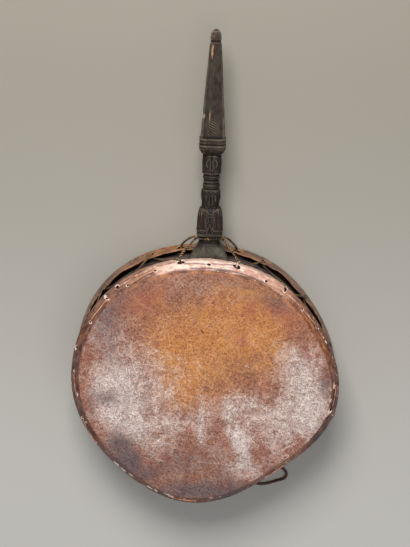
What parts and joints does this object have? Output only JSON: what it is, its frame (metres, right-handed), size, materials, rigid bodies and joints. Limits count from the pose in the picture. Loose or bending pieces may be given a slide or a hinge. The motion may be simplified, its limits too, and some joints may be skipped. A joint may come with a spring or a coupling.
{
  "type": "ceremonial frame drum with a handle",
  "caption": "Round double-headed frame drum: laced hide heads over a bent wooden shell, tied to a carved dagger-shaped wooden handle.",
  "frame": {"origin": "centre of the back head's flat outer face, on which the drum lies", "axes": "+Z out of the front head, +Y along the handle, +X to the right of someone who looks at the front head"},
  "size_m": [0.4231, 0.7737, 0.112],
  "materials": {
    "front_hide": "old drum hide, ochre in the middle and grey-mauve towards the edge, dusty and scratched",
    "back_hide": "old drum hide, brown and slightly glossy",
    "shell_wood": "dull, darkened bent board",
    "carved_wood": "near-black hardwood with a worn sheen",
    "cane": "smooth cane",
    "lace_hide": "dry hide strip",
    "twisted_cord": "twisted fibre, worn smooth",
    "loop_leather": "dark reddish leather"
  },
  "bodies": {
    "root": {"shell": "shell_wood", "front_hoop": "cane", "back_hoop": "cane", "front_head": "front_hide", "back_head": "back_hide", "lacing": "lace_hide", "tail_loop": "loop_leather", "handle": "carved_wood", "front_binding": "twisted_cord", "back_binding": "twisted_cord"}
  },
  "joints": []
}
